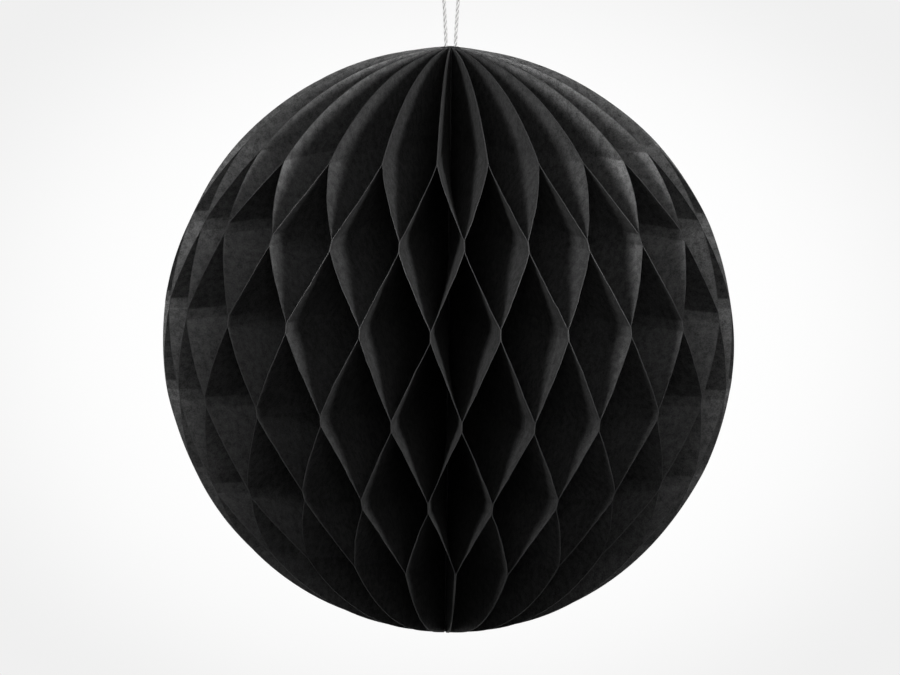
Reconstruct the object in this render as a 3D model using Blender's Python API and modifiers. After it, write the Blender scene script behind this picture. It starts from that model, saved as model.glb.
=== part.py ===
"""Honeycomb paper ball on a string loop, opened all the way round.

Fifty half-disc leaves of tissue stand round a spine. Each is glued to the leaf before it and to the
leaf after it on alternate rows, so that opening the stack pulls every leaf into a zigzag and the
gaps between leaves into a net of diamond cells. The stack's two cover cards meet at the back, where
adhesive strips hold them face to face. A string loop comes out of the spine's top.

Metres, +Z up. The origin is where a hook bears, inside the top of the string loop. The seam of the
cover cards is on the +Y side.
"""
import math

import bmesh
import bpy
import numpy as np
from mathutils import Matrix, Vector

# The ball's outline: an ellipse a little taller than it is wide
BALL_RADIUS = 0.100
BALL_HALF_HEIGHT = 0.1024

# Tissue leaves
LEAF_COUNT = 50
LEAF_THICKNESS = 0.0001
LEAF_END_WIDTH = 0.001

# Glue rows, as heights above and below the middle of the flat leaf
GLUE_ROW_HEIGHTS = (0.0162, 0.0468, 0.0745)
GLUE_LENGTH = 0.003
BEND_LENGTH = 0.0007

# Clearance between pieces that touch
TOUCH_GAP = 0.0003

# Cover cards and the adhesive strips between them
CARD_THICKNESS = 0.0005
STRIP_THICKNESS = 0.0002
STRIP_WIDTH = 0.012
STRIP_LENGTH = 0.030
STRIP_HEIGHT = 0.045
STRIP_EDGE_MARGIN = 0.005

# Spine
SPINE_RECESS = 0.001
SPINE_EDGE_RADIUS = 0.0004

# Hanging string: diameter, and half of its route, up from its end in the spine to the loop's top,
# as pairs of sideways distance and height above the top of the ball
STRING_DIAMETER = 0.0013
STRING_HALF_ROUTE = (
    (0.00161, -0.0120),
    (0.00161, -0.0070),
    (0.00161, -0.0020),
    (0.00172, 0.0030),
    (0.00196, 0.0080),
    (0.00226, 0.0130),
    (0.00259, 0.0180),
    (0.00284, 0.0220),
    (0.00263, 0.0249),
    (0.00145, 0.0262),
    (0.0, 0.0266),
)

# How finely curved outlines are cut into straight ones, and rounds of the sum for a leaf's rim
RIM_ROUNDS = 12
POLE_STATIONS = 6
CARD_OUTLINE_POINTS = 41
SPINE_SIDES = 32
HOLE_SIDES = 16

# Worked out from the sizes above
LEAF_STEP = 2 * math.pi / LEAF_COUNT
SEAM_HALF_WIDTH = STRIP_THICKNESS / 2 + TOUCH_GAP + CARD_THICKNESS + TOUCH_GAP / 2
LEAF_INSET = (LEAF_THICKNESS + TOUCH_GAP) / 2 + SEAM_HALF_WIDTH / LEAF_COUNT
LEAF_INNER_RADIUS = LEAF_INSET / math.tan(LEAF_STEP / 2)
SPINE_RADIUS = LEAF_INNER_RADIUS - TOUCH_GAP
SPINE_TOP = BALL_HALF_HEIGHT - SPINE_RECESS
STRING_HOLE_RADIUS = STRING_DIAMETER / 2 + TOUCH_GAP
BALL_CENTRE_DROP = BALL_HALF_HEIGHT + STRING_HALF_ROUTE[-1][1] - STRING_DIAMETER / 2


def clear_scene():
    """Remove whatever the file opened with."""
    for old in list(bpy.data.objects):
        bpy.data.objects.remove(old, do_unlink=True)


def new_collection(name):
    collection = bpy.data.collections.new(name)
    bpy.context.scene.collection.children.link(collection)
    return collection


def new_material(name, colour, roughness):
    material = bpy.data.materials.new(name)
    material.use_nodes = True
    shader = material.node_tree.nodes["Principled BSDF"]
    shader.inputs["Base Color"].default_value = (*colour, 1.0)
    shader.inputs["Roughness"].default_value = roughness
    shader.inputs["Metallic"].default_value = 0.0
    return material


def add_object(name, data, collection, parent, material=None):
    """A new object in the ball's own frame, whose origin is the ball's centre."""
    obj = bpy.data.objects.new(name, data)
    collection.objects.link(obj)
    obj.parent = parent
    if material and not data.materials:
        data.materials.append(material)
    return obj


def outline_radius(height):
    """How far the ball's surface is from its axis at a height above or below its centre."""
    share = np.clip(1.0 - (np.asarray(height) / BALL_HALF_HEIGHT) ** 2, 0.0, 1.0)
    return BALL_RADIUS * np.sqrt(share)


def outline_height(radius):
    """How high the ball's surface is at a distance from its axis."""
    return BALL_HALF_HEIGHT * math.sqrt(1.0 - (radius / BALL_RADIUS) ** 2)


def leaf_stations():
    """Flat heights up the leaf, and the side that it leans to at each: -1, 0 or +1.

    A glue row has a station at each of its ends. From there the leaf bends away over a short
    length, at half the slope that it has further on, and halfway to the next row it crosses its
    own middle plane. Past the last row it stays against its neighbour up to the pole.
    """
    rows = [-height for height in reversed(GLUE_ROW_HEIGHTS)] + list(GLUE_ROW_HEIGHTS)
    heights = [rows[0] - GLUE_LENGTH / 2, rows[0] + GLUE_LENGTH / 2]
    sides = [-1.0, -1.0]
    for below, above in zip(rows, rows[1:]):
        start = below + GLUE_LENGTH / 2
        end = above - GLUE_LENGTH / 2
        side = sides[-1]
        bent = side * (1.0 - BEND_LENGTH / (end - start - BEND_LENGTH))
        heights += [start + BEND_LENGTH, (start + end) / 2, end - BEND_LENGTH]
        sides += [bent, 0.0, -bent]
        heights += [end, above + GLUE_LENGTH / 2]
        sides += [-side, -side]
    last = heights[-1]
    pole = outline_height(LEAF_INNER_RADIUS + LEAF_END_WIDTH)
    steps = np.sin(np.linspace(0.0, math.pi / 2, POLE_STATIONS + 1)[1:])
    upper = list(last + (pole - last) * steps)
    heights = [-height for height in reversed(upper)] + heights + upper
    sides = [sides[0]] * POLE_STATIONS + sides + [sides[-1]] * POLE_STATIONS
    return np.array(heights), np.array(sides)


def lean(radius):
    """Distance from a leaf's middle plane to its glued stretch, at a distance from the spine."""
    return radius * math.sin(LEAF_STEP / 2) - LEAF_INSET * math.cos(LEAF_STEP / 2)


def opened_heights(flat_heights, sides, radius):
    """Heights of the stations when the leaf is opened, along one line at a constant radius.

    Between stations the paper keeps its length, so where it runs across it rises less. The sum
    starts at the leaf's middle, which stays where it is.
    """
    lengths = np.diff(flat_heights)
    across = np.diff(sides) * lean(radius)
    rises = np.sqrt(lengths ** 2 - across ** 2)
    heights = np.concatenate([[0.0], np.cumsum(rises)])
    return heights - np.interp(0.0, flat_heights, heights)


def rim_points(flat_heights, sides):
    """Radius and height of each station at the leaf's outer edge, which lies on the outline.

    Where the edge lies further out the leaf opens wider and its stations sink, which moves the
    edge a little in again, so the two are worked out in turn until they settle.
    """
    radii = outline_radius(flat_heights)
    heights = flat_heights.copy()
    for _ in range(RIM_ROUNDS):
        for station, radius in enumerate(radii):
            heights[station] = opened_heights(flat_heights, sides, radius)[station]
        radii = outline_radius(heights)
    return radii, heights


def leaf_mesh(name, direction):
    """One leaf in its own frame: X out from the spine, Y across, open surface, no thickness."""
    flat_heights, sides = leaf_stations()
    radii, heights = rim_points(flat_heights, sides)
    bm = bmesh.new()
    columns = []
    for radius_row, height_row in (
        (np.full_like(radii, LEAF_INNER_RADIUS), flat_heights),
        (radii, heights),
    ):
        out = radius_row * math.cos(LEAF_STEP / 2) + LEAF_INSET * math.sin(LEAF_STEP / 2)
        across = direction * sides * lean(radius_row)
        columns.append([bm.verts.new(point) for point in zip(out, across, height_row)])
    inner, outer = columns
    for low in range(len(inner) - 1):
        bm.faces.new((inner[low], outer[low], outer[low + 1], inner[low + 1]))
    mesh = bpy.data.meshes.new(name)
    bm.to_mesh(mesh)
    bm.free()
    return mesh


def add_leaves(collection, centre, material):
    """All the leaves, from the seam round to the seam again.

    Odd and even leaves lean opposite ways. The space that the cover cards take at the seam is
    shared out: each leaf stands a little sideways of its own radial plane.
    """
    meshes = [leaf_mesh("tissue_leaf_even", 1.0), leaf_mesh("tissue_leaf_odd", -1.0)]
    for number in range(1, LEAF_COUNT + 1):
        azimuth = math.pi / 2 + (number - 0.5) * LEAF_STEP
        aside = SEAM_HALF_WIDTH * (1.0 - 2.0 * (number - 0.5) / LEAF_COUNT)
        leaf = add_object(
            f"tissue_leaf_{number:02d}", meshes[number % 2], collection, centre, material
        )
        leaf.rotation_euler.z = azimuth
        leaf.location = (-math.sin(azimuth) * aside, math.cos(azimuth) * aside, 0.0)
        paper = leaf.modifiers.new("paper", "SOLIDIFY")
        paper.thickness = LEAF_THICKNESS
        paper.offset = 0.0
        paper.use_even_offset = True


def card_curve(name):
    """A cover card's outline in its own XY plane, from the spine out, with its thickness."""
    end = LEAF_INNER_RADIUS + LEAF_END_WIDTH
    limit = math.acos(end / BALL_RADIUS)
    angles = np.linspace(-limit, limit, CARD_OUTLINE_POINTS)
    top = outline_height(end)
    points = [(LEAF_INNER_RADIUS, -top)]
    points += [(BALL_RADIUS * math.cos(a), BALL_HALF_HEIGHT * math.sin(a)) for a in angles]
    points.append((LEAF_INNER_RADIUS, top))
    curve = bpy.data.curves.new(name, "CURVE")
    curve.dimensions = "2D"
    curve.fill_mode = "BOTH"
    curve.extrude = CARD_THICKNESS / 2
    spline = curve.splines.new("POLY")
    spline.points.add(len(points) - 1)
    for place, (out, up) in zip(spline.points, points):
        place.co = (out, up, 0.0, 1.0)
    spline.use_cyclic_u = True
    return curve


def add_cards(collection, centre, material):
    """The two cover cards, face to face on either side of the seam."""
    offset = STRIP_THICKNESS / 2 + TOUCH_GAP + CARD_THICKNESS / 2
    outwards_and_up = Matrix(((0, 0, 1), (1, 0, 0), (0, 1, 0)))
    for name, side in (("cover_card_left", 1.0), ("cover_card_right", -1.0)):
        card = add_object(name, card_curve(name), collection, centre, material)
        card.rotation_euler = outwards_and_up.to_euler()
        card.location = (side * offset, 0.0, 0.0)


def add_strips(collection, centre, material):
    """Adhesive strips between the cards, one above the middle and one below it."""
    card_edge = float(outline_radius(STRIP_HEIGHT + STRIP_LENGTH / 2))
    from_spine = card_edge - STRIP_EDGE_MARGIN - STRIP_WIDTH / 2
    for name, side in (("adhesive_strip_upper", 1.0), ("adhesive_strip_lower", -1.0)):
        bm = bmesh.new()
        bmesh.ops.create_cube(bm, size=1.0)
        bmesh.ops.scale(bm, vec=(STRIP_THICKNESS, STRIP_WIDTH, STRIP_LENGTH), verts=bm.verts)
        mesh = bpy.data.meshes.new(name)
        bm.to_mesh(mesh)
        bm.free()
        strip = add_object(name, mesh, collection, centre, material)
        strip.location = (0.0, from_spine, side * STRIP_HEIGHT)


def cylinder_mesh(name, radius, bottom, top, sides):
    bm = bmesh.new()
    bmesh.ops.create_cone(
        bm,
        cap_ends=True,
        segments=sides,
        radius1=radius,
        radius2=radius,
        depth=top - bottom,
        matrix=Matrix.Translation((0.0, 0.0, (top + bottom) / 2)),
    )
    mesh = bpy.data.meshes.new(name)
    bm.to_mesh(mesh)
    bm.free()
    return mesh


def add_spine(collection, cutters, centre, material):
    """The bead of binding glue along the leaves' edges, with a hole for each end of the string."""
    mesh = cylinder_mesh("spine_binding", SPINE_RADIUS, -SPINE_TOP, SPINE_TOP, SPINE_SIDES)
    spine = add_object("spine_binding", mesh, collection, centre, material)
    edges = spine.modifiers.new("rounded_ends", "BEVEL")
    edges.width = SPINE_EDGE_RADIUS
    edges.segments = 2
    edges.limit_method = "ANGLE"
    sideways, string_end = STRING_HALF_ROUTE[0]
    hole_bottom = BALL_HALF_HEIGHT + string_end - TOUCH_GAP
    for name, side in (("string_hole_left", -1.0), ("string_hole_right", 1.0)):
        mesh = cylinder_mesh(
            name, STRING_HOLE_RADIUS, hole_bottom, BALL_HALF_HEIGHT, HOLE_SIDES
        )
        cutter = add_object(name, mesh, cutters, centre)
        cutter.location = (side * sideways, 0.0, 0.0)
        cutter.hide_render = True
        cutter.display_type = "WIRE"
        hole = spine.modifiers.new(name, "BOOLEAN")
        hole.operation = "DIFFERENCE"
        hole.object = cutter
    spine.data.shade_smooth()
    spine.data.set_sharp_from_angle(angle=math.radians(40))


def smooth_route(points, spacing):
    """Points at an even spacing on one smooth curve through the given points.

    Each stretch is a cubic whose slope at a point runs from the point before to the point after.
    """
    points = np.array(points)
    chords = np.linalg.norm(np.diff(points, axis=0), axis=1)
    at = np.concatenate([[0.0], np.cumsum(chords)])
    slopes = np.gradient(points, at, axis=0)
    where = np.linspace(0.0, at[-1], 2000)
    piece = np.clip(np.searchsorted(at, where, side="right") - 1, 0, len(chords) - 1)
    length = chords[piece][:, None]
    t = (where - at[piece])[:, None] / length
    dense = (
        (2 * t ** 3 - 3 * t ** 2 + 1) * points[piece]
        + (t ** 3 - 2 * t ** 2 + t) * length * slopes[piece]
        + (3 * t ** 2 - 2 * t ** 3) * points[piece + 1]
        + (t ** 3 - t ** 2) * length * slopes[piece + 1]
    )
    run = np.concatenate([[0.0], np.cumsum(np.linalg.norm(np.diff(dense, axis=0), axis=1))])
    even = np.linspace(0.0, run[-1], round(run[-1] / spacing) + 1)
    return np.stack([np.interp(even, run, dense[:, axis]) for axis in range(3)], axis=1)


def add_string(collection, centre, material):
    """The string, from one hole in the spine up round the loop and down into the other."""
    half = [(-aside, 0.0, BALL_HALF_HEIGHT + up) for aside, up in STRING_HALF_ROUTE]
    other = [(-x, y, z) for x, y, z in reversed(half[:-1])]
    route = smooth_route(half + other, 1.2 * STRING_DIAMETER)
    curve = bpy.data.curves.new("hanging_string", "CURVE")
    curve.dimensions = "3D"
    curve.bevel_depth = STRING_DIAMETER / 2
    curve.bevel_resolution = 2
    curve.use_fill_caps = True
    spline = curve.splines.new("POLY")
    spline.points.add(len(route) - 1)
    for place, point in zip(spline.points, route):
        place.co = (*point, 1.0)
    add_object("hanging_string", curve, collection, centre, material)


def build():
    clear_scene()
    ball = new_collection("honeycomb_paper_ball")
    cutters = new_collection("cutters")
    centre = bpy.data.objects.new("ball_centre", None)
    ball.objects.link(centre)
    centre.location = Vector((0.0, 0.0, -BALL_CENTRE_DROP))
    add_leaves(ball, centre, new_material("black_tissue", (0.012, 0.012, 0.013), 0.85))
    add_cards(ball, centre, new_material("black_card", (0.015, 0.015, 0.016), 0.7))
    add_strips(ball, centre, new_material("clear_adhesive", (0.75, 0.75, 0.72), 0.3))
    add_spine(ball, cutters, centre, new_material("binding_glue", (0.02, 0.02, 0.02), 0.5))
    add_string(ball, centre, new_material("white_string", (0.82, 0.81, 0.78), 0.8))


build()
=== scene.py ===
import math

import bpy
import numpy as np
from mathutils import Matrix, Vector


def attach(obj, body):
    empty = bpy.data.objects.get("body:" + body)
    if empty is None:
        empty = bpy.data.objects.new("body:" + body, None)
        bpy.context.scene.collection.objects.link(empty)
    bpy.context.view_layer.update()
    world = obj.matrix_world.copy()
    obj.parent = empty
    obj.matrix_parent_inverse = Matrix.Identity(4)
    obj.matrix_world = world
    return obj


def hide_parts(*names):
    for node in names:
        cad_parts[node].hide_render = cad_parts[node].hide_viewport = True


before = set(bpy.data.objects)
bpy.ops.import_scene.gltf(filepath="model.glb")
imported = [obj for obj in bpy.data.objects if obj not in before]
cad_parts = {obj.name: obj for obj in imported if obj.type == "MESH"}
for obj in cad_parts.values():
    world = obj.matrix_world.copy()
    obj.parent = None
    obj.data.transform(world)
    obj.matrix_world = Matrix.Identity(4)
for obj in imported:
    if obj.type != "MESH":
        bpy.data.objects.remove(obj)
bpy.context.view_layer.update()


# The photo's camera: a long lens a metre and a half from the ball, a little above its middle and a
# little to the left of its front ridge. In the picture the ball's top leans very slightly to the
# right, which the camera's roll stands for.
BALL_MIDDLE = Vector((0.0, 0.0, -0.12835))
CAMERA_DISTANCE = 1.5
CAMERA_RISE = math.radians(8.2)
CAMERA_ASIDE = math.radians(-3.0)
CAMERA_ROLL = math.radians(0.5)
AIM_RIGHT = 0.00063
AIM_UP = 0.00073
LENS = 171.6
SENSOR_WIDTH = 36.0
CLIP_NEAR = 0.05
CLIP_FAR = 60.0

view_back = Vector((
    math.sin(CAMERA_ASIDE) * math.cos(CAMERA_RISE),
    -math.cos(CAMERA_ASIDE) * math.cos(CAMERA_RISE),
    math.sin(CAMERA_RISE),
))
level_right = Vector((0.0, 0.0, 1.0)).cross(view_back).normalized()
level_up = view_back.cross(level_right)
view_right = level_right * math.cos(CAMERA_ROLL) + level_up * math.sin(CAMERA_ROLL)
view_up = level_up * math.cos(CAMERA_ROLL) - level_right * math.sin(CAMERA_ROLL)
camera_data = bpy.data.cameras.new("photo_camera")
camera_data.sensor_width = SENSOR_WIDTH
camera_data.lens = LENS
camera_data.clip_start = CLIP_NEAR
camera_data.clip_end = CLIP_FAR
camera = bpy.data.objects.new("photo_camera", camera_data)
bpy.context.scene.collection.objects.link(camera)
aim = BALL_MIDDLE + view_right * AIM_RIGHT + view_up * AIM_UP
turn = Matrix((view_right, view_up, view_back)).transposed()
camera.matrix_world = Matrix.Translation(aim + view_back * CAMERA_DISTANCE) @ turn.to_4x4()
bpy.context.scene.camera = camera


# The hanging string: white cord laid up from three plies with a right-hand twist. Its two ends are
# set in the spine's binding glue, and the bight that they leave is the loop the ball hangs by.
BALL_HALF_HEIGHT = 0.1024
BALL_TOP = BALL_MIDDLE.z + BALL_HALF_HEIGHT
STRING_DIAMETER = 0.0013
STRING_LAY = 0.0066
PLY_COUNT = 3
PLY_SIDES = 12
PLY_SLACK = 0.995
PLY_END = 0.05
ROUTE_SAMPLES = 4000
RING_SPACING = 0.00022
# Half the string's route, from its end in the spine to the top of the loop: how far it is from the
# ball's axis and how far above the ball's top
STRING_HALF_ROUTE = (
    (0.00161, -0.0120),
    (0.00161, -0.0070),
    (0.00161, -0.0020),
    (0.00172, 0.0030),
    (0.00196, 0.0080),
    (0.00226, 0.0130),
    (0.00259, 0.0180),
    (0.00284, 0.0220),
    (0.00263, 0.0249),
    (0.00145, 0.0262),
    (0.0, 0.0266),
)
STRING_WHITE = (0.82, 0.82, 0.81, 1.0)
STRING_SHADE = (0.66, 0.66, 0.65, 1.0)
# The painted shade in the creases between the plies
STRING_CREASE_SHADE = (0.48, 0.48, 0.48, 1.0)
STRING_RELIEF = 0.00006
FIBRES_ROUND_A_PLY = 14.0
SHARP_ANGLE = math.radians(50)


def smooth_route(points, spacing):
    """Points at an even spacing on one smooth curve through the given points, and their runs.

    Each stretch is a cubic whose slope at a point runs from the point before to the point after.
    """
    points = np.array(points)
    chords = np.linalg.norm(np.diff(points, axis=0), axis=1)
    at = np.concatenate([[0.0], np.cumsum(chords)])
    slopes = np.gradient(points, at, axis=0)
    where = np.linspace(0.0, at[-1], ROUTE_SAMPLES)
    piece = np.clip(np.searchsorted(at, where, side="right") - 1, 0, len(chords) - 1)
    length = chords[piece][:, None]
    t = (where - at[piece])[:, None] / length
    dense = (
        (2 * t ** 3 - 3 * t ** 2 + 1) * points[piece]
        + (t ** 3 - 2 * t ** 2 + t) * length * slopes[piece]
        + (3 * t ** 2 - 2 * t ** 3) * points[piece + 1]
        + (t ** 3 - t ** 2) * length * slopes[piece + 1]
    )
    run = np.concatenate([[0.0], np.cumsum(np.linalg.norm(np.diff(dense, axis=0), axis=1))])
    even = np.linspace(0.0, run[-1], round(run[-1] / spacing) + 1)
    return np.stack([np.interp(even, run, dense[:, axis]) for axis in range(3)], axis=1), even


def quads_of_grid(rows, columns, first=0, wrap=False):
    """Corner numbers of the quads between neighbouring points of a grid, row after row.

    With wrap, the last column is joined to the first, as round a tube.
    """
    grid = first + np.arange(rows * columns).reshape(rows, columns)
    if wrap:
        grid = np.concatenate([grid, grid[:, :1]], axis=1)
    return np.stack(
        [grid[:-1, :-1], grid[:-1, 1:], grid[1:, 1:], grid[1:, :-1]], axis=-1
    ).reshape(-1, 4)


def end_quads(rows, columns, first=0):
    """Corner numbers of the quads that close a tube at its first and its last ring.

    Each end is a row of quads, from one point pair of the ring across to the pair on the far side.
    """
    near = np.arange(columns // 2 - 1)
    across = np.stack([near, near + 1, columns - 2 - near, columns - 1 - near], axis=1)
    return first + np.concatenate([across[:, ::-1], (rows - 1) * columns + across])


def new_piece(name, points, quads, uv, material):
    """An object at the origin from arrays of points, quads and one UV pair a point."""
    mesh = bpy.data.meshes.new(name)
    mesh.vertices.add(len(points))
    mesh.vertices.foreach_set("co", np.ascontiguousarray(points, np.float32).ravel())
    mesh.loops.add(quads.size)
    mesh.loops.foreach_set("vertex_index", quads.astype(np.int32).ravel())
    mesh.polygons.add(len(quads))
    mesh.polygons.foreach_set("loop_start", np.arange(0, quads.size, 4, dtype=np.int32))
    mesh.update(calc_edges=True)
    layer = mesh.uv_layers.new(name="UVMap")
    layer.data.foreach_set("uv", uv[quads.ravel()].astype(np.float32).ravel())
    mesh.shade_smooth()
    mesh.set_sharp_from_angle(angle=SHARP_ANGLE)
    mesh.materials.append(material)
    obj = bpy.data.objects.new(name, mesh)
    bpy.context.scene.collection.objects.link(obj)
    return obj


def new_shader(name, base, roughness, specular):
    """A material with a Principled BSDF, its nodes, its links and its shader node."""
    material = bpy.data.materials.new(name)
    material.use_nodes = True
    tree = material.node_tree
    shader = tree.nodes["Principled BSDF"]
    shader.inputs["Base Color"].default_value = base
    shader.inputs["Roughness"].default_value = roughness
    shader.inputs["Specular IOR Level"].default_value = specular
    return material, tree.nodes, tree.links, shader


def new_node(nodes, kind, values=None, **settings):
    """A node of a kind, with its own settings and then with the values of its inputs."""
    node = nodes.new(kind)
    for name, setting in settings.items():
        setattr(node, name, setting)
    for socket, value in (values or {}).items():
        node.inputs[socket].default_value = value
    return node


string_material, nodes, links, shader = new_shader(
    "string_cotton", STRING_WHITE, roughness=0.75, specular=0.3
)
shader.inputs["Sheen Weight"].default_value = 0.25
spot = new_node(nodes, "ShaderNodeUVMap", uv_map="UVMap")

# Fine fibres run along each ply, lighter and darker
along_fibre = new_node(nodes, "ShaderNodeMapping", {"Scale": (1.0, FIBRES_ROUND_A_PLY, 1.0)})
fibres = new_node(nodes, "ShaderNodeTexNoise", {"Scale": 6.0, "Detail": 3.0, "Roughness": 0.6})
contrast = new_node(nodes, "ShaderNodeMapRange", {"From Min": 0.3, "From Max": 0.55})
shade = new_node(nodes, "ShaderNodeMix", {"A": STRING_SHADE, "B": STRING_WHITE}, data_type="RGBA")
links.new(spot.outputs["UV"], along_fibre.inputs["Vector"])
links.new(along_fibre.outputs["Vector"], fibres.inputs["Vector"])
links.new(fibres.outputs["Fac"], contrast.inputs["Value"])
links.new(contrast.outputs["Result"], shade.inputs["Factor"])

# Painted shade: greyer creases between the plies, on the side of each ply that faces in
split = new_node(nodes, "ShaderNodeSeparateXYZ")
once_round = new_node(nodes, "ShaderNodeMath", {1: 2 * math.pi}, operation="MULTIPLY")
facing_out = new_node(nodes, "ShaderNodeMath", operation="COSINE")
crease_shade_mask = new_node(
    nodes, "ShaderNodeMapRange", {"From Min": 0.75, "From Max": 0.10},
    interpolation_type="SMOOTHSTEP",
)
shaded_crease_colour = new_node(nodes, "ShaderNodeMix", {"B": STRING_CREASE_SHADE}, data_type="RGBA")
links.new(spot.outputs["UV"], split.inputs["Vector"])
links.new(split.outputs["Y"], once_round.inputs[0])
links.new(once_round.outputs["Value"], facing_out.inputs[0])
links.new(facing_out.outputs["Value"], crease_shade_mask.inputs["Value"])
links.new(crease_shade_mask.outputs["Result"], shaded_crease_colour.inputs["Factor"])
links.new(shade.outputs["Result"], shaded_crease_colour.inputs["A"])
links.new(shaded_crease_colour.outputs["Result"], shader.inputs["Base Color"])

ridges = new_node(nodes, "ShaderNodeBump", {"Strength": 0.5, "Distance": STRING_RELIEF})
links.new(fibres.outputs["Fac"], ridges.inputs["Height"])
links.new(ridges.outputs["Normal"], shader.inputs["Normal"])

half = [(-aside, 0.0, BALL_TOP + up) for aside, up in STRING_HALF_ROUTE]
other = [(-x, y, z) for x, y, z in reversed(half[:-1])]
string_path, string_run = smooth_route(half + other, RING_SPACING)

# A ply is a tube whose middle line winds round the string's own. Three round plies that touch
# reach out to their own radius times 1 and 2 over the square root of 3.
ply_radius = STRING_DIAMETER / 2 / (1 + 2 / math.sqrt(3))
ply_offset = STRING_DIAMETER / 2 - ply_radius
tangent = np.gradient(string_path, string_run, axis=0)
tangent /= np.linalg.norm(tangent, axis=1)[:, None]
towards_back = np.tile([0.0, 1.0, 0.0], (len(tangent), 1))
outwards = np.cross(tangent, towards_back)
rings = len(string_path)
swell = np.full((rings, 1, 1), PLY_SLACK)
swell[[0, -1]] = PLY_END
around = np.arange(PLY_SIDES) * 2 * math.pi / PLY_SIDES
points, quads, uv = [], [], []
for ply in range(PLY_COUNT):
    wind = 2 * math.pi * (string_run / STRING_LAY + ply / PLY_COUNT)
    middle = string_path + ply_offset * (
        np.cos(wind)[:, None] * towards_back + np.sin(wind)[:, None] * outwards
    )
    angle = wind[:, None] + around[None, :]
    ring = middle[:, None, :] + ply_radius * swell * (
        np.cos(angle)[..., None] * towards_back[:, None, :]
        + np.sin(angle)[..., None] * outwards[:, None, :]
    )
    first = ply * rings * PLY_SIDES
    points.append(ring.reshape(-1, 3))
    quads.append(quads_of_grid(rings, PLY_SIDES, first, wrap=True))
    quads.append(end_quads(rings, PLY_SIDES, first))
    uv.append(np.stack(
        [
            np.broadcast_to(string_run[:, None] / STRING_LAY, angle.shape),
            np.broadcast_to(around[None, :] / (2 * math.pi), angle.shape),
        ],
        axis=-1,
    ).reshape(-1, 2))
string = new_piece(
    "twisted_string", np.concatenate(points), np.concatenate(quads), np.concatenate(uv),
    string_material,
)
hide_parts("hanging_string")
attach(string, "root")


# The tissue leaves: fifty half discs of thin black tissue paper. Each is glued to the leaf before
# it and the leaf after it on alternate rows, and opening the ball pulls it into a zigzag, which
# bends at each glued stretch. Its cut rim is duller than the sheet, and painted lighter: a painted
# highlight for the light that its cut edge catches.
BALL_RADIUS = 0.100
LEAF_COUNT = 50
LEAF_HALF_STEP = math.pi / LEAF_COUNT
LEAF_THICKNESS = 0.00014
LEAF_INSET = 0.00013
LEAF_INNER_RADIUS = 0.00351
LEAF_END_WIDTH = 0.001
SEAM_HALF_WIDTH = 0.00105
GLUE_ROWS = np.array([-0.0745, -0.0468, -0.0162, 0.0162, 0.0468, 0.0745])
GLUE_LENGTH = 0.0030
BEND_LENGTH = 0.0007

# How finely a leaf is worked out: steps outwards, crowded towards the rim by a power, and steps up
# a cap, a glued stretch, a bend and a slope
OUTWARD_STEPS = 20
RIM_CROWDING = 1.4
CAP_STEPS = 20
GLUED_STEPS = 3
BEND_STEPS = 5
SLOPE_STEPS = 11
SIDE_SAMPLES = 12001
RISE_SAMPLES = 20001
RIM_ROUNDS = 14

# Shares of the radius by which the ball's outline is drawn in
CORNER_SQUEEZE = 0.0356
SLANT_SQUEEZE = 0.0074
TOP_SQUEEZE = 0.0025
LEFT_SQUEEZE = 0.0015

# Lengths by which the shoulders sink, on either side and to the right, and by which the foot's
# left side is lifted. The rest are shares of the ball's height and radius.
SHOULDER_SINK = 0.00055
SHOULDER_RIGHT = 0.0022
FOOT_LIFT = 0.0010
SHOULDER_START = 0.60
SHOULDER_FULL = 0.85
SHOULDER_SPREAD = 0.12
FOOT_SPREAD = 0.35

# How far the lowest tips are drawn down, how near the spine, and from which flat height
FOOT_TIP = 0.0020
FOOT_REACH = 0.021
FOOT_START = 0.085

# The paper's ripple, and for each of its waves a share of that, a length and a slant outwards
RIPPLE = 0.00010
RIPPLE_WAVES = ((1.0, 0.019, 3.0), (0.6, 0.0085, 5.0), (0.35, 0.0047, -9.0))

# A ball opened by hand isn't even. For each glue row, from the lowest up: the first glue line that
# shows in front, then for it and every second one after it the turn in degrees and the rise in
# millimetres of the glued stretch. The stretches that don't show are off by chance, by at most
# HIDDEN_TURN degrees and HIDDEN_RISE millimetres.
SEEN_IN_FRONT = (
    (19, ((1.72, 1.92), (1.44, 1.14), (0.75, -0.23), (-0.44, -0.14), (-1.0, -0.65),
          (-1.36, 1.07), (-3.16, 3.3))),
    (16, ((-2.95, -3.22), (-0.77, -0.84), (1.17, 1.47), (0.42, 0.21), (0.28, -0.15),
          (-0.56, -0.51), (-0.72, 0.24), (-1.16, 1.1), (-1.14, 2.12))),
    (17, ((-1.42, 0.85), (0.02, 0.53), (0.65, 0.32), (0.62, -0.21), (-0.24, -0.06),
          (-0.49, -0.87), (-1.13, -1.27), (-0.84, 0.1), (-0.33, 1.39))),
    (16, ((-2.29, -0.7), (-0.96, 0.17), (0.03, 0.43), (1.39, 0.62), (0.85, 0.12), (-0.15, 0.78),
          (-0.97, 0.02), (-1.05, -0.58), (-0.54, -0.99), (1.28, -1.55))),
    (17, ((-2.38, 0.93), (-0.77, -0.65), (0.28, -0.51), (0.97, -0.1), (0.22, 0.55),
          (-0.51, -0.03), (-1.03, -0.27), (-0.8, -0.17), (0.63, -0.73))),
    (18, ((-0.88, -1.22), (0.28, -0.78), (0.94, -0.15), (0.94, 0.01), (-0.17, 0.2),
          (-0.75, -0.01), (-1.64, -0.12), (-0.91, -0.86))),
)
HIDDEN_TURN = 0.6
HIDDEN_RISE = 0.6
POLE_FADE = 0.020

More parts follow.
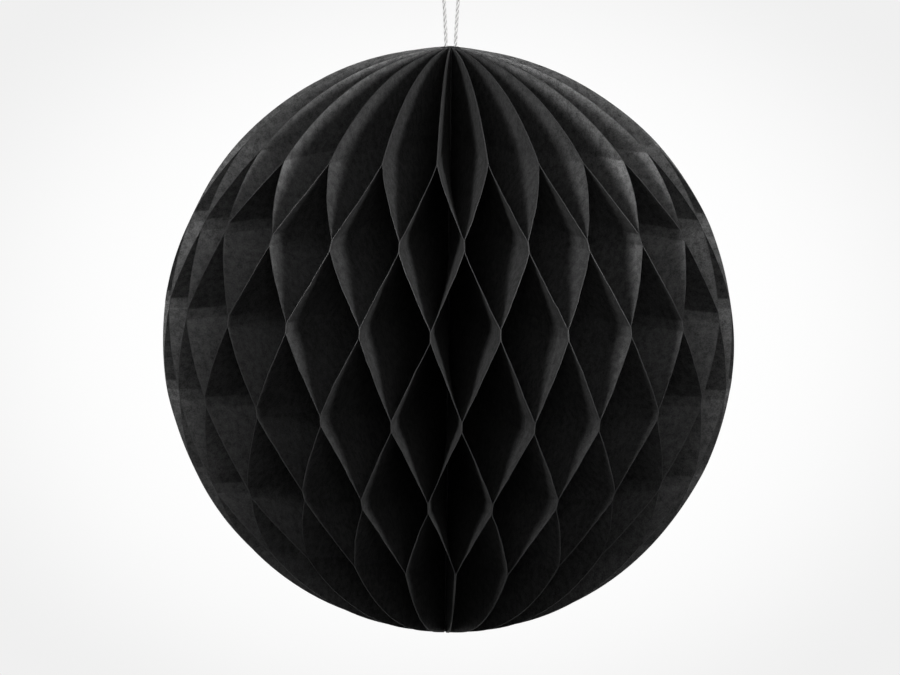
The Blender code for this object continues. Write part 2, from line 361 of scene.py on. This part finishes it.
chance = np.random.default_rng(11)
node_turns = chance.uniform(-HIDDEN_TURN, HIDDEN_TURN, (LEAF_COUNT + 1, len(GLUE_ROWS)))
node_rises = chance.uniform(-HIDDEN_RISE, HIDDEN_RISE, (LEAF_COUNT + 1, len(GLUE_ROWS)))
for row, (first, offsets) in enumerate(SEEN_IN_FRONT):
    seen = slice(first, first + 2 * len(offsets), 2)
    node_turns[seen, row], node_rises[seen, row] = zip(*offsets)
node_turns[[0, -1]] = 0.0
node_rises[-1] = node_rises[0]
node_turns = np.radians(node_turns)
node_rises = node_rises / 1000.0


def running_sum(values, at):
    """The integral of the values up to each place, by trapezia."""
    strips = (values[1:] + values[:-1]) / 2 * np.diff(at)
    return np.concatenate([[0.0], np.cumsum(strips)])


def zigzag(flat):
    """A leaf's side at flat heights up it, from -1 to +1, and its slope.

    The slope is nil on a glued stretch, grows evenly over a bend, and is constant from there to
    the next row's bend. The side is the running sum of the slope.
    """
    knots, slopes = [], []
    way = 1.0
    for below, above in zip(GLUE_ROWS, GLUE_ROWS[1:]):
        start = below + GLUE_LENGTH / 2
        end = above - GLUE_LENGTH / 2
        steep = way * 2.0 / (end - start - BEND_LENGTH)
        knots += [start, start + BEND_LENGTH, end - BEND_LENGTH, end]
        slopes += [0.0, steep, steep, 0.0]
        way = -way
    fine = np.linspace(knots[0], knots[-1], SIDE_SAMPLES)
    side = -1.0 + running_sum(np.interp(fine, knots, slopes), fine)
    return np.interp(flat, fine, side), np.interp(flat, knots, slopes, left=0.0, right=0.0)


def leaf_flat_heights():
    """Flat heights of a leaf's grid, close together on the bends and near the poles."""
    pole = BALL_HALF_HEIGHT * math.sqrt(
        1.0 - ((LEAF_INNER_RADIUS + LEAF_END_WIDTH) / BALL_RADIUS) ** 2
    )
    last = GLUE_ROWS[-1] + GLUE_LENGTH / 2
    cap = last + (pole - last) * np.sin(np.linspace(0.0, math.pi / 2, CAP_STEPS + 1)[1:])
    stretches = [-cap[::-1]]
    for row, height in enumerate(GLUE_ROWS):
        low, high = height - GLUE_LENGTH / 2, height + GLUE_LENGTH / 2
        stretches.append(np.linspace(low, high, GLUED_STEPS + 1))
        if row < len(GLUE_ROWS) - 1:
            bent = high + BEND_LENGTH
            after = GLUE_ROWS[row + 1] - GLUE_LENGTH / 2
            stretches.append(np.linspace(high, bent, BEND_STEPS + 1)[1:])
            stretches.append(np.linspace(bent, after - BEND_LENGTH, SLOPE_STEPS + 1)[1:])
            stretches.append(np.linspace(after - BEND_LENGTH, after, BEND_STEPS + 1)[1:-1])
    stretches.append(cap)
    return np.concatenate(stretches)


def held_at_rows(flat, rows, values):
    """Values given at glue rows, constant along each glued stretch and sloping between them."""
    low, high = GLUE_ROWS[rows] - GLUE_LENGTH / 2, GLUE_ROWS[rows] + GLUE_LENGTH / 2
    return np.interp(flat, np.stack([low, high], axis=1).ravel(), np.repeat(values, 2))


def glue_line_azimuth(number, flat):
    """Azimuth of the plane in which two leaves are glued, at flat heights up it.

    The glue lines stand at equal shares of the turn from the seam round to the seam again, and
    each glued stretch is off by a turn of its own.
    """
    rows = np.array([1, 3, 5]) if number % 2 == 0 else np.array([0, 2, 4])
    even = math.pi / 2 + number * 2 * LEAF_HALF_STEP
    return even + held_at_rows(flat, rows, node_turns[number, rows])


def leaf_rise(number, direction, flat):
    """How far a leaf's rim is shifted up, at flat heights up it.

    It goes with the glued stretches that the leaf shares with its two neighbours, row by row, and
    fades to nothing at the poles.
    """
    rows = np.arange(len(GLUE_ROWS))
    row_sides = direction * np.where(rows % 2, 1.0, -1.0)
    touched = np.where(row_sides > 0, number, number - 1)
    to_poles = np.minimum(1.0, (BALL_HALF_HEIGHT - np.abs(flat)) / POLE_FADE)
    return held_at_rows(flat, rows, node_rises[touched, rows]) * to_poles


flat_heights = leaf_flat_heights()
even_side = zigzag(flat_heights)[0]
outward_share = 1.0 - (1.0 - np.linspace(0.0, 1.0, OUTWARD_STEPS + 1)) ** RIM_CROWDING

# Running sums, from the leaf's middle, of the slope's even powers, with the factors of the series
# for the square root of 1 less a square
fine_flat = np.linspace(flat_heights[0], flat_heights[-1], RISE_SAMPLES)
fine_slope = zigzag(fine_flat)[1]
rise_series = []
for power, factor in ((2, 1 / 2), (4, 1 / 8), (6, 1 / 16), (8, 5 / 128), (10, 7 / 256)):
    total = running_sum(fine_slope ** power, fine_flat)
    total -= np.interp(0.0, fine_flat, total)
    rise_series.append((power, factor * np.interp(flat_heights, fine_flat, total)[:, None]))


def opened_height(radius):
    """Height of each point of a leaf's grid when the leaf is opened.

    The paper keeps its length, so a step up rises by the square root of 1 less the square of its
    slope times the distance from the leaf's middle plane to its glued stretch.
    """
    lean = radius * math.sin(LEAF_HALF_STEP) - LEAF_INSET * math.cos(LEAF_HALF_STEP)
    return flat_heights[:, None] - sum(sums * lean ** power for power, sums in rise_series)


def rim_radius(rise, azimuth):
    """Radius of a leaf's outer edge at each flat height, so that it lies on the ball's outline.

    The outline is an ellipse, less a small share of its radius that depends on how far up and how
    far to the right the place is: the ball is slightly squeezed at its corners, most at the upper
    right and the lower left. Height and radius depend on each other, so the radius is put right
    by half of its error, over and over.
    """
    radius = np.full((len(flat_heights), 1), BALL_RADIUS / 2)
    for _ in range(RIM_ROUNDS):
        up = (opened_height(radius) + rise) / BALL_HALF_HEIGHT
        right = np.cos(azimuth) * radius / BALL_RADIUS
        squeeze = CORNER_SQUEEZE * right ** 2 * up ** 2 + SLANT_SQUEEZE * right * up
        squeeze += TOP_SQUEEZE * (up + up ** 2) + LEFT_SQUEEZE * (right ** 2 - right)
        outline = BALL_RADIUS * np.sqrt(np.clip(1.0 - up ** 2, 0.0, 1.0)) * (1.0 - squeeze)
        radius = np.maximum((radius + outline) / 2, LEAF_INNER_RADIUS)
    return radius


def shoulder_sink(height, right):
    """How far the paper sinks, at a height and at a share of the ball's radius to the right.

    Near the top it sinks by a little on either side of the middle, and by a length that grows to
    the right. Near the foot it is lifted on the left. Both grow smoothly with the distance from
    the ball's middle height.
    """
    level = height / BALL_HALF_HEIGHT
    t = np.clip((np.abs(level) - SHOULDER_START) / (SHOULDER_FULL - SHOULDER_START), 0.0, 1.0)
    top = SHOULDER_SINK * np.clip(np.abs(right) / SHOULDER_SPREAD, 0.0, 1.0)
    top = top + SHOULDER_RIGHT * np.clip(right, 0.0, 1.0)
    foot = FOOT_LIFT * np.clip(-right / FOOT_SPREAD, 0.0, 1.0)
    return np.where(level > 0.0, top, -foot) * level ** 2 * t * t * (3.0 - 2.0 * t)


def foot_dip(up, radius):
    """How far the leaf's lowest tip is drawn down, at flat heights and radii.

    It grows evenly from its first flat height down to the pole, and outwards it falls off with
    the square of the distance that is left to where it ends.
    """
    down = np.clip((-up - FOOT_START) / (BALL_HALF_HEIGHT - FOOT_START), 0.0, 1.0)
    return FOOT_TIP * down * np.clip(1.0 - radius / FOOT_REACH, 0.0, 1.0) ** 2


def paper_ripple(up, share):
    """The ripple of a leaf's paper, at flat heights and shares of the way out.

    It is the sum of three sines that run up the leaf, each one slanting outwards and starting at
    a chance place.
    """
    drawn = chance.uniform(0.0, 2 * math.pi, 6)
    starts = (drawn[0], drawn[1] + drawn[2], drawn[3] + drawn[4])
    return RIPPLE * sum(
        size * np.sin(up * 2 * math.pi / length + start + slant * share)
        for (size, length, slant), start in zip(RIPPLE_WAVES, starts)
    )


def leaf_surface(number):
    """Points of one leaf's middle surface, on a grid of flat heights by steps outwards.

    At a distance from the spine the leaf runs to and fro between the planes of its two glue
    lines, less half the spacing of glued leaves, by its side at that flat height. Between glued
    stretches it ripples, and more so towards its free rim. The points' distances in from the rim
    come second.
    """
    direction = 1.0 if number % 2 == 0 else -1.0
    side = (direction * even_side)[:, None]
    before = glue_line_azimuth(number - 1, flat_heights)
    after = glue_line_azimuth(number, flat_heights)
    middle = ((before + after) / 2)[:, None]
    half_turn = ((after - before) / 2)[:, None]
    rise = leaf_rise(number, direction, flat_heights)[:, None]
    up = flat_heights[:, None]
    share = outward_share[None, :]
    rim = rim_radius(rise, middle)
    radius = LEAF_INNER_RADIUS + (rim - LEAF_INNER_RADIUS) * share
    out = radius * np.cos(half_turn) + LEAF_INSET * np.sin(half_turn)
    across = side * (radius * np.sin(half_turn) - LEAF_INSET * np.cos(half_turn))
    across = across + paper_ripple(up, share) * (1.0 - side ** 2) * share ** 2
    across = across + SEAM_HALF_WIDTH * (1.0 - 2.0 * (number - 0.5) / LEAF_COUNT)
    east = out * np.cos(middle) - across * np.sin(middle)
    north = out * np.sin(middle) + across * np.cos(middle)
    height = opened_height(radius) + rise * share
    sunk = shoulder_sink(height, east / BALL_RADIUS) + foot_dip(up, radius)
    surface = np.stack([east, north, BALL_MIDDLE.z + height - sunk], axis=-1)
    return surface, (rim - LEAF_INNER_RADIUS) * (1.0 - share)


UV_PER_METRE = 10.0


def thin_sheet(surface, thickness, distance_in):
    """Points, quads and UVs of a closed sheet on both sides of a surface given on a grid.

    U is the distance in from the outer rim and V the height, both in decimetres.
    """
    rows, columns = surface.shape[:2]
    normal = np.cross(np.gradient(surface, axis=1), np.gradient(surface, axis=0))
    normal /= np.linalg.norm(normal, axis=-1, keepdims=True)
    half_thickness = thickness / 2
    points = np.concatenate([
        (surface + normal * half_thickness).reshape(-1, 3),
        (surface - normal * half_thickness).reshape(-1, 3),
    ])
    count = rows * columns
    face = quads_of_grid(rows, columns)
    grid = np.arange(count).reshape(rows, columns)
    border = np.concatenate([grid[0, :], grid[1:, -1], grid[-1, -2::-1], grid[-2:0:-1, 0]])
    ahead = np.roll(border, -1)
    wall = np.stack([border, border + count, ahead + count, ahead], axis=1)
    quads = np.concatenate([face, face[:, ::-1] + count, wall])
    uv = np.stack([distance_in, surface[..., 2]], axis=-1).reshape(-1, 2) * UV_PER_METRE
    return points, quads, np.concatenate([uv, uv])


def paper_fibre_group():
    """A node group for the cloudy, fibrous look of paper.

    Cloud is a soft patchiness, Fibre a fine tangle of short lines, each from 0 to 1.
    """
    group = bpy.data.node_groups.new("paper_fibres", "ShaderNodeTree")
    for name, value in (("Cloud Size", 0.004), ("Fibre Size", 0.0009)):
        socket = group.interface.new_socket(name, in_out="INPUT", socket_type="NodeSocketFloat")
        socket.default_value = value
    for name in ("Cloud", "Fibre"):
        group.interface.new_socket(name, in_out="OUTPUT", socket_type="NodeSocketFloat")
    inside, joins = group.nodes, group.links
    entry = new_node(inside, "NodeGroupInput")
    leave = new_node(inside, "NodeGroupOutput")
    place = new_node(inside, "ShaderNodeTexCoord")
    for size, name, detail, low, high in (
        ("Cloud Size", "Cloud", 3.0, 0.35, 0.65),
        ("Fibre Size", "Fibre", 4.0, 0.36, 0.66),
    ):
        per_metre = new_node(inside, "ShaderNodeMath", {0: 1.0}, operation="DIVIDE")
        noise = new_node(inside, "ShaderNodeTexNoise", {"Detail": detail, "Roughness": 0.62})
        spread = new_node(inside, "ShaderNodeMapRange", {"From Min": low, "From Max": high})
        joins.new(entry.outputs[size], per_metre.inputs[1])
        joins.new(place.outputs["Object"], noise.inputs["Vector"])
        joins.new(per_metre.outputs[0], noise.inputs["Scale"])
        joins.new(noise.outputs["Fac"], spread.inputs["Value"])
        joins.new(spread.outputs["Result"], leave.inputs[name])
    return group


TISSUE_DARK = (0.017, 0.017, 0.0172, 1.0)
TISSUE_LIGHT = (0.029, 0.029, 0.0293, 1.0)
# The painted highlight along the cut rim
TISSUE_RIM_HIGHLIGHT = (0.040, 0.040, 0.0405, 1.0)
TISSUE_CLOUD = 0.0022
TISSUE_FIBRE = 0.0005
TISSUE_RELIEF = 0.00012
RIM_WIDTH = 0.00030
RIM_GLAZE = 0.05

paper_fibres = paper_fibre_group()
tissue, nodes, links, shader = new_shader(
    "black_tissue", TISSUE_DARK, roughness=0.5, specular=0.35
)
shader.inputs["Coat Roughness"].default_value = 0.5
shader.inputs["Coat IOR"].default_value = 2.4

# The grain is half clouds and half fibres. It colours the sheet and raises it.
fibres = new_node(
    nodes, "ShaderNodeGroup", {"Cloud Size": TISSUE_CLOUD, "Fibre Size": TISSUE_FIBRE},
    node_tree=paper_fibres,
)
half_cloud = new_node(nodes, "ShaderNodeMath", {1: 0.5}, operation="MULTIPLY")
grain = new_node(nodes, "ShaderNodeMath", {1: 0.5}, operation="MULTIPLY_ADD")
sheet_colour = new_node(
    nodes, "ShaderNodeMix", {"A": TISSUE_DARK, "B": TISSUE_LIGHT}, data_type="RGBA"
)
relief = new_node(nodes, "ShaderNodeBump", {"Strength": 0.6, "Distance": TISSUE_RELIEF})
links.new(fibres.outputs["Cloud"], half_cloud.inputs[0])
links.new(fibres.outputs["Fibre"], grain.inputs[0])
links.new(half_cloud.outputs["Value"], grain.inputs[2])
links.new(grain.outputs["Value"], sheet_colour.inputs["Factor"])
links.new(grain.outputs["Value"], relief.inputs["Height"])
links.new(relief.outputs["Normal"], shader.inputs["Normal"])

# The cut rim is painted lighter, a painted highlight for the light that its cut edge catches. The
# coat is the sheet's glaze, which follows the grain and all but ends at the rim.
spot = new_node(nodes, "ShaderNodeUVMap", uv_map="UVMap")
split = new_node(nodes, "ShaderNodeSeparateXYZ")
rim_mask = new_node(
    nodes, "ShaderNodeMapRange", {"From Min": RIM_WIDTH * UV_PER_METRE, "From Max": 0.0},
    interpolation_type="SMOOTHSTEP",
)
rim_highlight_colour = new_node(nodes, "ShaderNodeMix", {"B": TISSUE_RIM_HIGHLIGHT}, data_type="RGBA")
glaze = new_node(nodes, "ShaderNodeMix", {"B": RIM_GLAZE})
links.new(spot.outputs["UV"], split.inputs["Vector"])
links.new(split.outputs["X"], rim_mask.inputs["Value"])
links.new(rim_mask.outputs["Result"], rim_highlight_colour.inputs["Factor"])
links.new(sheet_colour.outputs["Result"], rim_highlight_colour.inputs["A"])
links.new(rim_highlight_colour.outputs["Result"], shader.inputs["Base Color"])
links.new(rim_mask.outputs["Result"], glaze.inputs["Factor"])
links.new(grain.outputs["Value"], glaze.inputs["A"])
links.new(glaze.outputs["Result"], shader.inputs["Coat Weight"])

for number in range(1, LEAF_COUNT + 1):
    surface, distance_in = leaf_surface(number)
    points, quads, uv = thin_sheet(surface, LEAF_THICKNESS, distance_in)
    leaf = new_piece(f"tissue_paper_{number:02d}", points, quads, uv, tissue)
    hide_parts(f"tissue_leaf_{number:02d}")
    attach(leaf, "root")


# The cover cards: two stiff half discs of black board, between which the leaves lie when the ball
# is folded. Opened, they stand face to face at the back seam. They keep their CAD shape.
CARD_DARK = (0.016, 0.016, 0.017, 1.0)
CARD_LIGHT = (0.040, 0.040, 0.041, 1.0)
CARD_CLOUD = 0.009
CARD_FIBRE = 0.0006
CARD_RELIEF = 0.00008

card, nodes, links, shader = new_shader("black_card", CARD_DARK, roughness=0.6, specular=0.4)
fibres = new_node(
    nodes, "ShaderNodeGroup", {"Cloud Size": CARD_CLOUD, "Fibre Size": CARD_FIBRE},
    node_tree=paper_fibres,
)
board_colour = new_node(
    nodes, "ShaderNodeMix", {"A": CARD_DARK, "B": CARD_LIGHT}, data_type="RGBA"
)
relief = new_node(nodes, "ShaderNodeBump", {"Strength": 0.3, "Distance": CARD_RELIEF})
links.new(fibres.outputs["Cloud"], board_colour.inputs["Factor"])
links.new(board_colour.outputs["Result"], shader.inputs["Base Color"])
links.new(fibres.outputs["Fibre"], relief.inputs["Height"])
links.new(relief.outputs["Normal"], shader.inputs["Normal"])
for name in ("cover_card_left", "cover_card_right"):
    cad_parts[name].material_slots[0].material = card


# The adhesive strips: clear double-sided film that holds the cards together at the seam. Small
# air bubbles under the film make it cloudy in spots.
FILM_CLEAR = (0.62, 0.62, 0.58, 1.0)
FILM_CLOUDY = (0.82, 0.82, 0.80, 1.0)
FILM_RELIEF = 0.00005
BUBBLES_PER_METRE = 900.0

film, nodes, links, shader = new_shader("adhesive_film", FILM_CLEAR, roughness=0.25, specular=0.5)
place = new_node(nodes, "ShaderNodeTexCoord")
bubbles = new_node(nodes, "ShaderNodeTexVoronoi", {"Scale": BUBBLES_PER_METRE})
spots = new_node(nodes, "ShaderNodeMapRange", {"From Min": 0.25, "From Max": 0.10})
film_colour = new_node(
    nodes, "ShaderNodeMix", {"A": FILM_CLEAR, "B": FILM_CLOUDY}, data_type="RGBA"
)
relief = new_node(nodes, "ShaderNodeBump", {"Strength": 0.3, "Distance": FILM_RELIEF})
links.new(place.outputs["Object"], bubbles.inputs["Vector"])
links.new(bubbles.outputs["Distance"], spots.inputs["Value"])
links.new(spots.outputs["Result"], film_colour.inputs["Factor"])
links.new(film_colour.outputs["Result"], shader.inputs["Base Color"])
links.new(bubbles.outputs["Distance"], relief.inputs["Height"])
links.new(relief.outputs["Normal"], shader.inputs["Normal"])
for name in ("adhesive_strip_upper", "adhesive_strip_lower"):
    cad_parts[name].material_slots[0].material = film


# The spine: the bead of dark binding glue along the leaves' straight edges. It dried with a
# slightly lumpy skin, and is blacker than the paper. It keeps its CAD shape, with the string's
# holes.
GLUE_DARK = (0.002, 0.002, 0.002, 1.0)
GLUE_LIGHT = (0.006, 0.006, 0.006, 1.0)
GLUE_RELIEF = 0.0003
LUMPS_PER_METRE = 700.0

glue, nodes, links, shader = new_shader("binding_glue", GLUE_DARK, roughness=0.45, specular=0.25)
place = new_node(nodes, "ShaderNodeTexCoord")
lumps = new_node(nodes, "ShaderNodeTexNoise", {"Scale": LUMPS_PER_METRE, "Detail": 3.0})
glue_colour = new_node(
    nodes, "ShaderNodeMix", {"A": GLUE_DARK, "B": GLUE_LIGHT}, data_type="RGBA"
)
relief = new_node(nodes, "ShaderNodeBump", {"Strength": 0.6, "Distance": GLUE_RELIEF})
links.new(place.outputs["Object"], lumps.inputs["Vector"])
links.new(lumps.outputs["Fac"], glue_colour.inputs["Factor"])
links.new(glue_colour.outputs["Result"], shader.inputs["Base Color"])
links.new(lumps.outputs["Fac"], relief.inputs["Height"])
links.new(relief.outputs["Normal"], shader.inputs["Normal"])
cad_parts["spine_binding"].material_slots[0].material = glue


# The glue dabs: at either end of the spine a dab of the binding glue covers its end and holds the
# leaves' tips together. Each one dried as a shallow dome, the lower one a little taller.
DAB_RADIUS = 0.0044
DAB_START = 0.1008
DAB_TOP_HEIGHT = 0.0019
DAB_FOOT_HEIGHT = 0.0031
DAB_SIDES = 32
DAB_RINGS = 13
DAB_FIRST_TILT = 0.02

around = np.linspace(0.0, 2 * math.pi, DAB_SIDES, endpoint=False)
for name, way, height in (
    ("glue_dab_top", 1.0, DAB_TOP_HEIGHT),
    ("glue_dab_foot", -1.0, DAB_FOOT_HEIGHT),
):
    tilt = np.linspace(DAB_FIRST_TILT, math.pi / 2, DAB_RINGS)
    if way > 0:
        tilt = tilt[::-1]
    reach = DAB_RADIUS * np.sin(tilt)
    rise = BALL_MIDDLE.z + way * (DAB_START + height * np.sqrt(np.cos(tilt)))
    points = np.stack([
        reach[:, None] * np.cos(around),
        reach[:, None] * np.sin(around),
        np.repeat(rise[:, None], DAB_SIDES, axis=1),
    ], axis=-1).reshape(-1, 3)
    quads = np.concatenate([
        quads_of_grid(DAB_RINGS, DAB_SIDES, wrap=True), end_quads(DAB_RINGS, DAB_SIDES),
    ])
    dab = new_piece(name, points, quads, points[:, :2], glue)
    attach(dab, "root")


# The studio's lamps: a soft lamp on either side of the camera, and one in front, above and at the
# back. Each is a name, an azimuth from the front and an angle up in degrees, a width and a height
# in metres, and a power in watts.
SOFT_LAMPS = (
    ("left_soft_lamp", -47.0, 23.0, 0.28, 0.36, 9.5),
    ("right_soft_lamp", 49.0, 20.0, 0.28, 0.36, 9.7),
    ("front_lamp", 0.0, 16.0, 0.58, 0.58, 2.1),
    ("top_lamp", 0.0, 75.0, 0.46, 0.46, 0.8),
    ("back_lamp", 180.0, 0.0, 0.30, 0.30, 6.7),
)
LAMP_DISTANCE = 1.1

for name, azimuth, rise, width, height, power in SOFT_LAMPS:
    lamp = bpy.data.lights.new(name, "AREA")
    lamp.shape = "RECTANGLE"
    lamp.size = width
    lamp.size_y = height
    lamp.energy = power
    lamp_object = bpy.data.objects.new(name, lamp)
    bpy.context.scene.collection.objects.link(lamp_object)
    a, e = math.radians(azimuth), math.radians(rise)
    away = Vector((math.sin(a) * math.cos(e), -math.cos(a) * math.cos(e), math.sin(e)))
    turn = away.to_track_quat("Z", "Y").to_matrix().to_4x4()
    lamp_object.matrix_world = Matrix.Translation(BALL_MIDDLE + away * LAMP_DISTANCE) @ turn


# The studio's walls: they give next to no light. The camera sees them white behind the ball, with
# painted shade that makes them a little greyer towards the picture's edges, in an oval as much
# wider than tall as the picture is.
WALL_LIGHT = 0.01
BACKDROP_WHITE = 1.0
BACKDROP_EDGE = 0.87
BACKDROP_FULL = math.radians(2.75)
BACKDROP_FADED = math.radians(8.0)
BACKDROP_MIRRORED = math.radians(30.0)
BACKDROP_ASPECT = 4 / 3
PURE_WHITE = (1.0, 1.0, 1.0, 1.0)


def ray_kinds(nodes, links):
    """Two masks: 1 on the camera's own rays, and 1 on those that a gloss or glass sends on."""
    rays = new_node(nodes, "ShaderNodeLightPath")
    mirrored = new_node(nodes, "ShaderNodeMath", operation="MAXIMUM")
    links.new(rays.outputs["Is Glossy Ray"], mirrored.inputs[0])
    links.new(rays.outputs["Is Transmission Ray"], mirrored.inputs[1])
    return rays.outputs["Is Camera Ray"], mirrored.outputs["Value"]


world = bpy.data.worlds.new("pale_walls")
bpy.context.scene.world = world
world.use_nodes = True
nodes, links = world.node_tree.nodes, world.node_tree.links
nodes.clear()

# The cosine of the angle from the view's middle, less a share of the square of the way up
ahead = new_node(nodes, "ShaderNodeTexCoord")
towards = new_node(nodes, "ShaderNodeVectorMath", {1: -view_back}, operation="DOT_PRODUCT")
upwards = new_node(nodes, "ShaderNodeVectorMath", {1: view_up}, operation="DOT_PRODUCT")
flatter = new_node(
    nodes, "ShaderNodeMath", {1: (1.0 - BACKDROP_ASPECT ** 2) / 2}, operation="MULTIPLY"
)
oval = new_node(nodes, "ShaderNodeMath", operation="MULTIPLY_ADD")
# Painted shade: the backdrop's strength falls from white in the view's middle to greyer at the
# edges
glow = new_node(
    nodes, "ShaderNodeMapRange",
    {
        "From Min": math.cos(BACKDROP_FADED), "From Max": math.cos(BACKDROP_FULL),
        "To Min": BACKDROP_EDGE, "To Max": BACKDROP_WHITE,
    },
    interpolation_type="SMOOTHSTEP",
)
links.new(ahead.outputs["Generated"], towards.inputs[0])
links.new(ahead.outputs["Generated"], upwards.inputs[0])
links.new(upwards.outputs["Value"], flatter.inputs[0])
links.new(flatter.outputs["Value"], oval.inputs[0])
links.new(upwards.outputs["Value"], oval.inputs[1])
links.new(towards.outputs["Value"], oval.inputs[2])
links.new(oval.outputs["Value"], glow.inputs["Value"])

# The backdrop shows to the camera, and in a gloss or glass where it stands behind the ball
behind = new_node(
    nodes, "ShaderNodeMath", {1: math.cos(BACKDROP_MIRRORED)}, operation="GREATER_THAN"
)
shows = new_node(nodes, "ShaderNodeMath", operation="MULTIPLY_ADD", use_clamp=True)
seen = new_node(nodes, "ShaderNodeBackground", {"Color": PURE_WHITE})
lit = new_node(nodes, "ShaderNodeBackground", {"Color": PURE_WHITE, "Strength": WALL_LIGHT})
either = new_node(nodes, "ShaderNodeMixShader")
out = new_node(nodes, "ShaderNodeOutputWorld")
by_camera, by_mirror = ray_kinds(nodes, links)
links.new(towards.outputs["Value"], behind.inputs[0])
links.new(by_mirror, shows.inputs[0])
links.new(behind.outputs["Value"], shows.inputs[1])
links.new(by_camera, shows.inputs[2])
links.new(glow.outputs["Result"], seen.inputs["Strength"])
links.new(shows.outputs["Value"], either.inputs["Fac"])
links.new(lit.outputs["Background"], either.inputs[1])
links.new(seen.outputs["Background"], either.inputs[2])
links.new(either.outputs["Shader"], out.inputs["Surface"])


# The floor: a pale sheet well below the ball, which takes its shadow and fades out into the walls.
# It glows only as the camera, a gloss or a glass sees it, so that it looks as light as they do.
FLOOR_PALE = (0.82, 0.82, 0.82, 1.0)
FLOOR_DROP = 1.3
FLOOR_RADIUS = 0.62
FLOOR_CLEAR = 0.38
FLOOR_GLOW = 0.40
FLOOR_LINES = 9

floor_material, nodes, links, shader = new_shader(
    "pale_floor", FLOOR_PALE, roughness=0.8, specular=0.2
)
shader.inputs["Emission Color"].default_value = PURE_WHITE
place = new_node(nodes, "ShaderNodeTexCoord")
flat = new_node(nodes, "ShaderNodeVectorMath", {1: (1.0, 1.0, 0.0)}, operation="MULTIPLY")
away = new_node(nodes, "ShaderNodeVectorMath", operation="LENGTH")
fade = new_node(
    nodes, "ShaderNodeMapRange", {"From Min": FLOOR_CLEAR, "From Max": FLOOR_RADIUS},
    interpolation_type="SMOOTHSTEP",
)
clear = new_node(nodes, "ShaderNodeBsdfTransparent")
either = new_node(nodes, "ShaderNodeMixShader")
links.new(place.outputs["Object"], flat.inputs[0])
links.new(flat.outputs["Vector"], away.inputs[0])
links.new(away.outputs["Value"], fade.inputs["Value"])
links.new(fade.outputs["Result"], either.inputs["Fac"])
links.new(shader.outputs["BSDF"], either.inputs[1])
links.new(clear.outputs["BSDF"], either.inputs[2])
links.new(either.outputs["Shader"], nodes["Material Output"].inputs["Surface"])

shown = new_node(nodes, "ShaderNodeMath", operation="MAXIMUM")
floor_glow = new_node(nodes, "ShaderNodeMath", {1: FLOOR_GLOW}, operation="MULTIPLY")
by_camera, by_mirror = ray_kinds(nodes, links)
links.new(by_camera, shown.inputs[0])
links.new(by_mirror, shown.inputs[1])
links.new(shown.outputs["Value"], floor_glow.inputs[0])
links.new(floor_glow.outputs["Value"], shader.inputs["Emission Strength"])

aside = np.linspace(-FLOOR_RADIUS, FLOOR_RADIUS, FLOOR_LINES)
points = np.stack(np.meshgrid(aside, aside, BALL_MIDDLE.z - FLOOR_DROP), axis=-1).reshape(-1, 3)
floor = new_piece(
    "pale_floor", points, quads_of_grid(FLOOR_LINES, FLOOR_LINES), points[:, :2], floor_material
)

bpy.context.scene.view_settings.view_transform = "Standard"


# Bring the scene's transforms up to date
bpy.context.view_layer.update()
